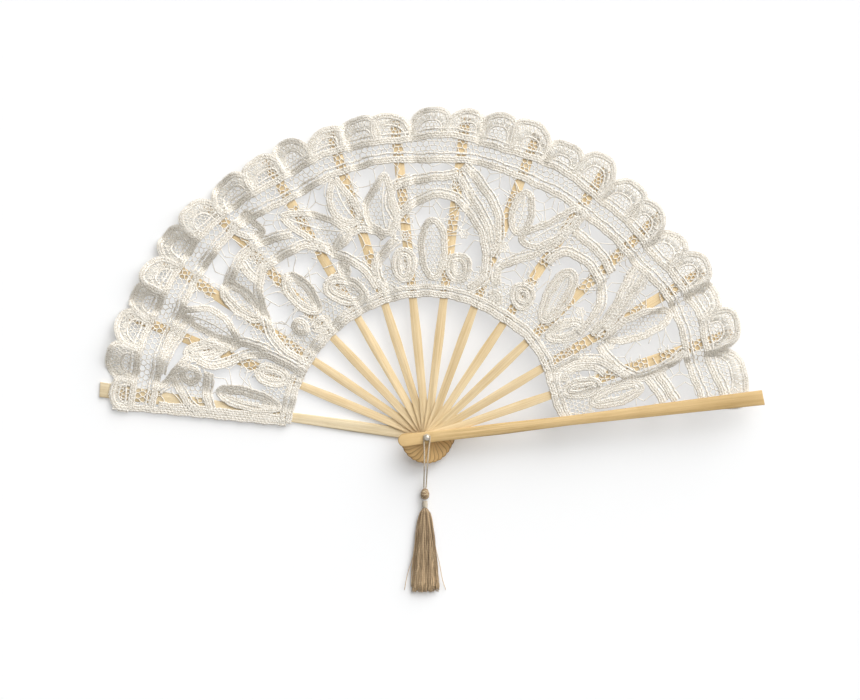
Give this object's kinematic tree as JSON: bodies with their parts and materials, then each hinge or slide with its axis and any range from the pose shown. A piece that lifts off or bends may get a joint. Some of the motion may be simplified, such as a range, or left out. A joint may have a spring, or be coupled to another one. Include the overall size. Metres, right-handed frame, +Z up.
{
  "type": "folding fan",
  "caption": "Open lace folding fan: bamboo sticks and guards on one rivet, pleated scalloped lace leaf, thread tassel on a doubled cord.",
  "frame": {"origin": "on the pivot's axis, at the flat underside where the rivet's tail is flush with the rear guard", "axes": "+Z up from the table along the rivet, out of the fan's front side; +Y up the middle of the open fan; +X towards the front guard's side"},
  "size_m": [0.4218, 0.3083, 0.0181],
  "materials": {
    "stick_bamboo": "bare bamboo, long fine grain",
    "guard_bamboo": "bare bamboo, smooth",
    "rivet_steel": "polished, domed",
    "lace_cotton": "corded tape lace, matt",
    "tassel_thread": "soft thread, slight sheen",
    "knot_thread": "knotted thread",
    "gold_thread": "shiny wound thread"
  },
  "bodies": {
    "base": {"rear_guard": "guard_bamboo", "rivet": "rivet_steel", "rivet_washer": "rivet_steel", "leaf_panel_01": "lace_cotton"},
    "rib_01": {"stick_01": "stick_bamboo", "leaf_panel_02": "lace_cotton"},
    "rib_02": {"stick_02": "stick_bamboo", "leaf_panel_03": "lace_cotton"},
    "rib_03": {"stick_03": "stick_bamboo", "leaf_panel_04": "lace_cotton"},
    "rib_04": {"stick_04": "stick_bamboo", "leaf_panel_05": "lace_cotton"},
    "rib_05": {"stick_05": "stick_bamboo", "leaf_panel_06": "lace_cotton"},
    "rib_06": {"stick_06": "stick_bamboo", "leaf_panel_07": "lace_cotton"},
    "rib_07": {"stick_07": "stick_bamboo", "leaf_panel_08": "lace_cotton"},
    "rib_08": {"stick_08": "stick_bamboo", "leaf_panel_09": "lace_cotton"},
    "rib_09": {"stick_09": "stick_bamboo", "leaf_panel_10": "lace_cotton"},
    "rib_10": {"stick_10": "stick_bamboo", "leaf_panel_11": "lace_cotton"},
    "rib_11": {"stick_11": "stick_bamboo", "leaf_panel_12": "lace_cotton"},
    "rib_12": {"stick_12": "stick_bamboo", "leaf_panel_13": "lace_cotton"},
    "front_rib": {"front_guard": "guard_bamboo"},
    "tassel": {"tassel_cord": "tassel_thread", "tassel_bead": "knot_thread", "tassel_binding": "gold_thread", "tassel_skirt": "tassel_thread"}
  },
  "joints": [
    {"name": "fold_01", "type": "hinge", "parent": "base", "child": "rib_01", "pos_m": [0, 0, 0.009], "axis": [0, 0, 1], "range_deg": [0, 14], "deforming": ["leaf_panel_01"]},
    {"name": "fold_02", "type": "hinge", "parent": "rib_01", "child": "rib_02", "pos_m": [0, 0, 0.009], "axis": [0, 0, 1], "range_deg": [0, 11.7], "deforming": ["leaf_panel_02"]},
    {"name": "fold_03", "type": "hinge", "parent": "rib_02", "child": "rib_03", "pos_m": [0, 0, 0.009], "axis": [0, 0, 1], "range_deg": [0, 12.7], "deforming": ["leaf_panel_03"]},
    {"name": "fold_04", "type": "hinge", "parent": "rib_03", "child": "rib_04", "pos_m": [0, 0, 0.009], "axis": [0, 0, 1], "range_deg": [0, 13.2], "deforming": ["leaf_panel_04"]},
    {"name": "fold_05", "type": "hinge", "parent": "rib_04", "child": "rib_05", "pos_m": [0, 0, 0.009], "axis": [0, 0, 1], "range_deg": [0, 12.6], "deforming": ["leaf_panel_05"]},
    {"name": "fold_06", "type": "hinge", "parent": "rib_05", "child": "rib_06", "pos_m": [0, 0, 0.009], "axis": [0, 0, 1], "range_deg": [0, 11.8], "deforming": ["leaf_panel_06"]},
    {"name": "fold_07", "type": "hinge", "parent": "rib_06", "child": "rib_07", "pos_m": [0, 0, 0.009], "axis": [0, 0, 1], "range_deg": [0, 12.7], "deforming": ["leaf_panel_07"]},
    {"name": "fold_08", "type": "hinge", "parent": "rib_07", "child": "rib_08", "pos_m": [0, 0, 0.009], "axis": [0, 0, 1], "range_deg": [0, 13.1], "deforming": ["leaf_panel_08"]},
    {"name": "fold_09", "type": "hinge", "parent": "rib_08", "child": "rib_09", "pos_m": [0, 0, 0.009], "axis": [0, 0, 1], "range_deg": [0, 13.8], "deforming": ["leaf_panel_09"]},
    {"name": "fold_10", "type": "hinge", "parent": "rib_09", "child": "rib_10", "pos_m": [0, 0, 0.009], "axis": [0, 0, 1], "range_deg": [0, 12.6], "deforming": ["leaf_panel_10"]},
    {"name": "fold_11", "type": "hinge", "parent": "rib_10", "child": "rib_11", "pos_m": [0, 0, 0.009], "axis": [0, 0, 1], "range_deg": [0, 12.6], "deforming": ["leaf_panel_11"]},
    {"name": "fold_12", "type": "hinge", "parent": "rib_11", "child": "rib_12", "pos_m": [0, 0, 0.009], "axis": [0, 0, 1], "range_deg": [0, 12.1], "deforming": ["leaf_panel_12"]},
    {"name": "fold_13", "type": "hinge", "parent": "rib_12", "child": "front_rib", "pos_m": [0, 0, 0.009], "axis": [0, 0, 1], "range_deg": [0, 12.1], "deforming": ["leaf_panel_13"]},
    {"name": "tassel_swing", "type": "hinge", "parent": "base", "child": "tassel", "pos_m": [0, 0, 0.0159], "axis": [0, 0, 1], "range_deg": [-60, 60]}
  ],
  "couplings": [
    {"joint": "fold_02", "follows": "fold_01", "ratio": 0.83571},
    {"joint": "fold_03", "follows": "fold_01", "ratio": 0.90714},
    {"joint": "fold_04", "follows": "fold_01", "ratio": 0.94286},
    {"joint": "fold_05", "follows": "fold_01", "ratio": 0.9},
    {"joint": "fold_06", "follows": "fold_01", "ratio": 0.84286},
    {"joint": "fold_07", "follows": "fold_01", "ratio": 0.90714},
    {"joint": "fold_08", "follows": "fold_01", "ratio": 0.93571},
    {"joint": "fold_09", "follows": "fold_01", "ratio": 0.98571},
    {"joint": "fold_10", "follows": "fold_01", "ratio": 0.9},
    {"joint": "fold_11", "follows": "fold_01", "ratio": 0.9},
    {"joint": "fold_12", "follows": "fold_01", "ratio": 0.86429},
    {"joint": "fold_13", "follows": "fold_01", "ratio": 0.86429}
  ]
}
